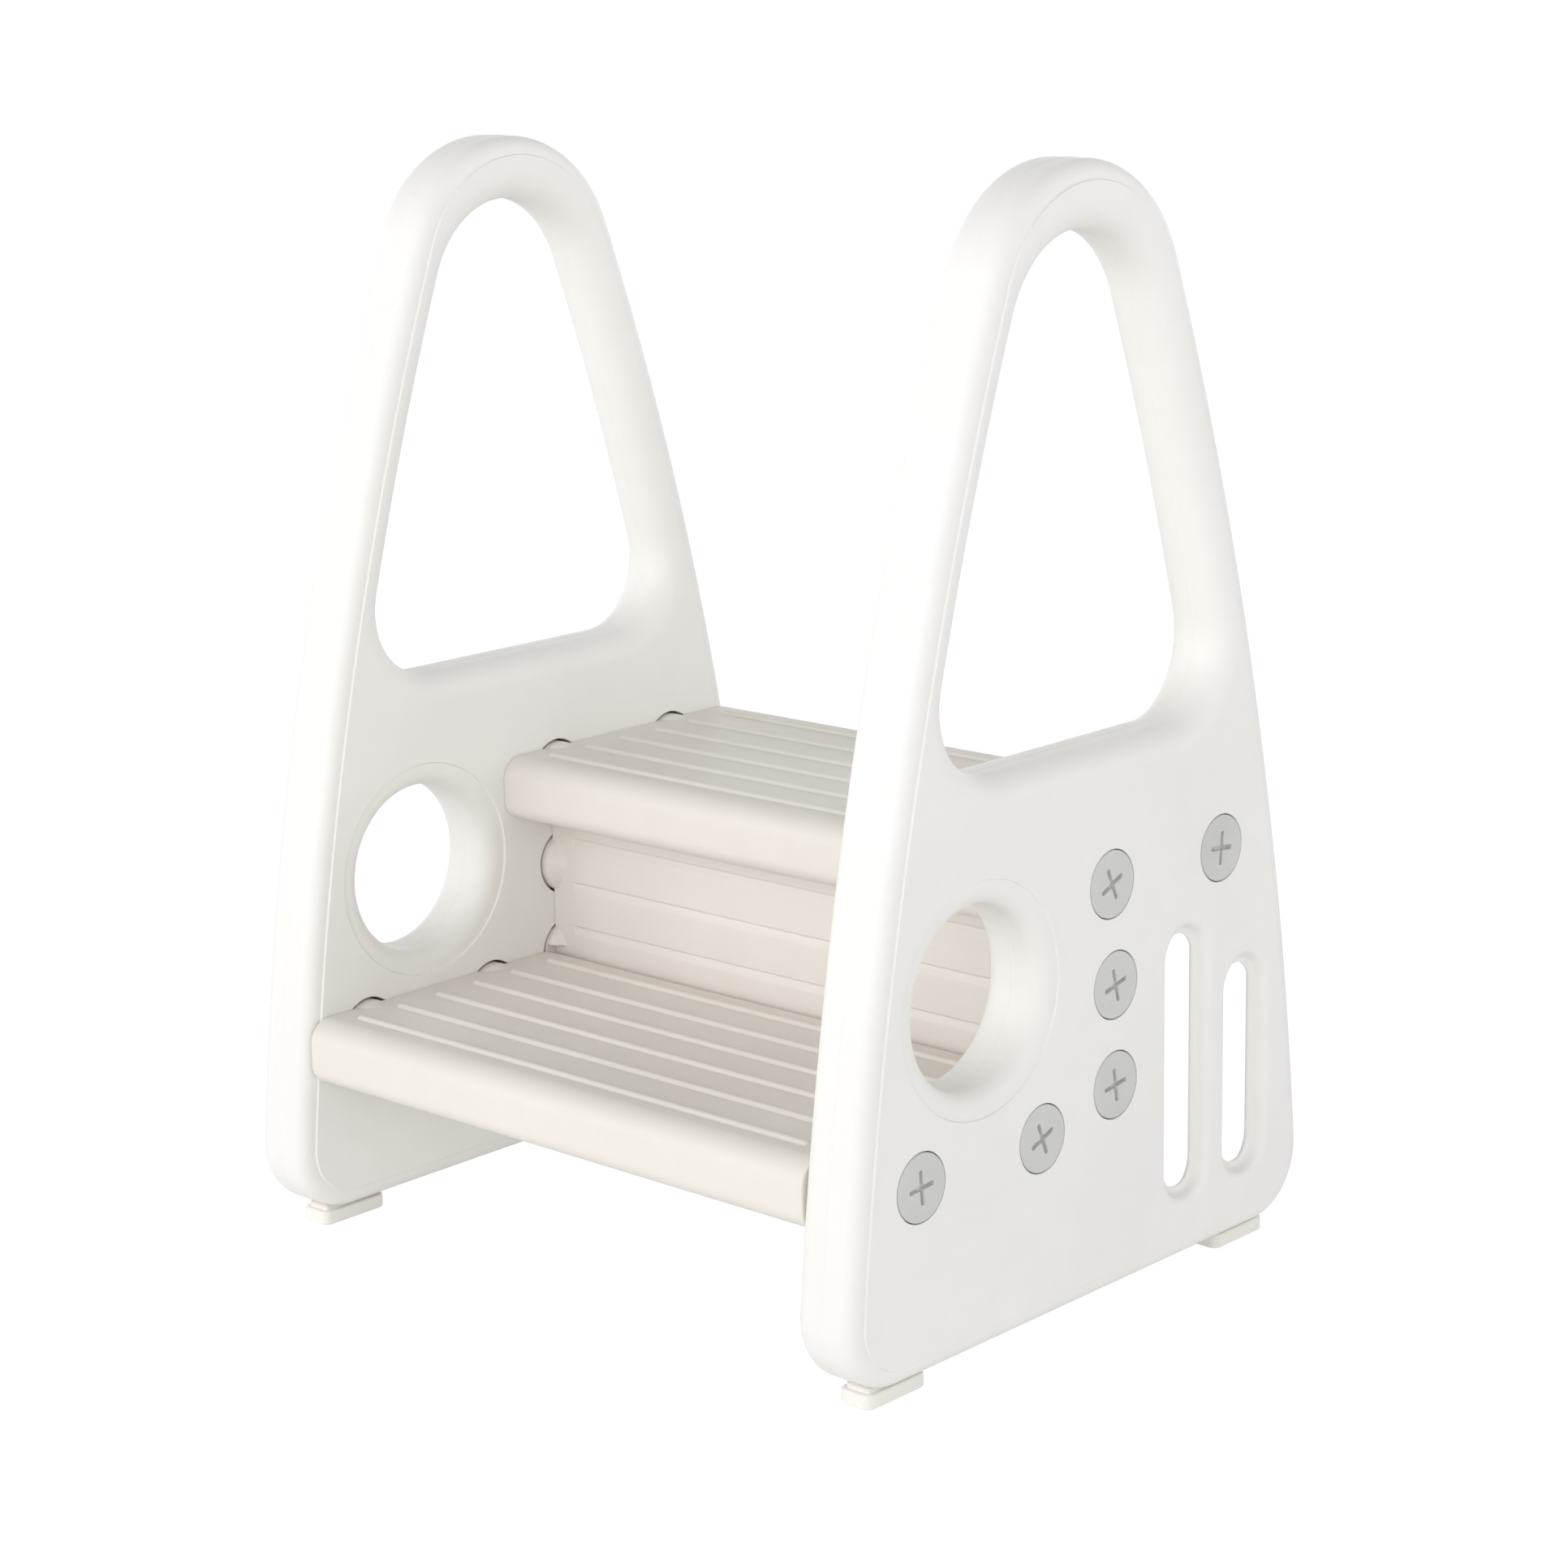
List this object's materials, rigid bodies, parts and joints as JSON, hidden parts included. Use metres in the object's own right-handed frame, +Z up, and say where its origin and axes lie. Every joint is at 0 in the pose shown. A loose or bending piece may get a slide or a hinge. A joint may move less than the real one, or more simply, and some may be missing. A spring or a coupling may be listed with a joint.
{
  "type": "step stool",
  "caption": "Child's two-step stool: two hollow side panels with hoop handles, a round porthole and slots carry ribbed treads and a riser, held by coarse plastic screws.",
  "frame": {"origin": "on the floor, midway between the two side panels and midway along their depth", "axes": "+Z up, -Y to the front where a child steps on, +X to the right seen from the front"},
  "size_m": [0.45, 0.382, 0.6039],
  "materials": {
    "panel_white": "satin blow-moulded polyethylene, warm white",
    "tread_cream": "satin blow-moulded polyethylene, warm cream",
    "screw_grey": "satin moulded plastic, pale grey",
    "foot_rubber": "matt soft rubber, pale warm grey"
  },
  "bodies": {
    "root": {"right_side_panel": "panel_white", "left_side_panel": "panel_white", "lower_tread": "tread_cream", "upper_tread": "tread_cream", "riser": "tread_cream", "left_lower_tread_front_screw": "screw_grey", "right_lower_tread_front_screw": "screw_grey", "left_lower_tread_rear_screw": "screw_grey", "right_lower_tread_rear_screw": "screw_grey", "left_riser_lower_screw": "screw_grey", "right_riser_lower_screw": "screw_grey", "left_riser_upper_screw": "screw_grey", "right_riser_upper_screw": "screw_grey", "left_upper_tread_front_screw": "screw_grey", "right_upper_tread_front_screw": "screw_grey", "left_upper_tread_rear_screw": "screw_grey", "right_upper_tread_rear_screw": "screw_grey", "left_front_foot": "foot_rubber", "left_rear_foot": "foot_rubber", "right_front_foot": "foot_rubber", "right_rear_foot": "foot_rubber"}
  },
  "joints": []
}
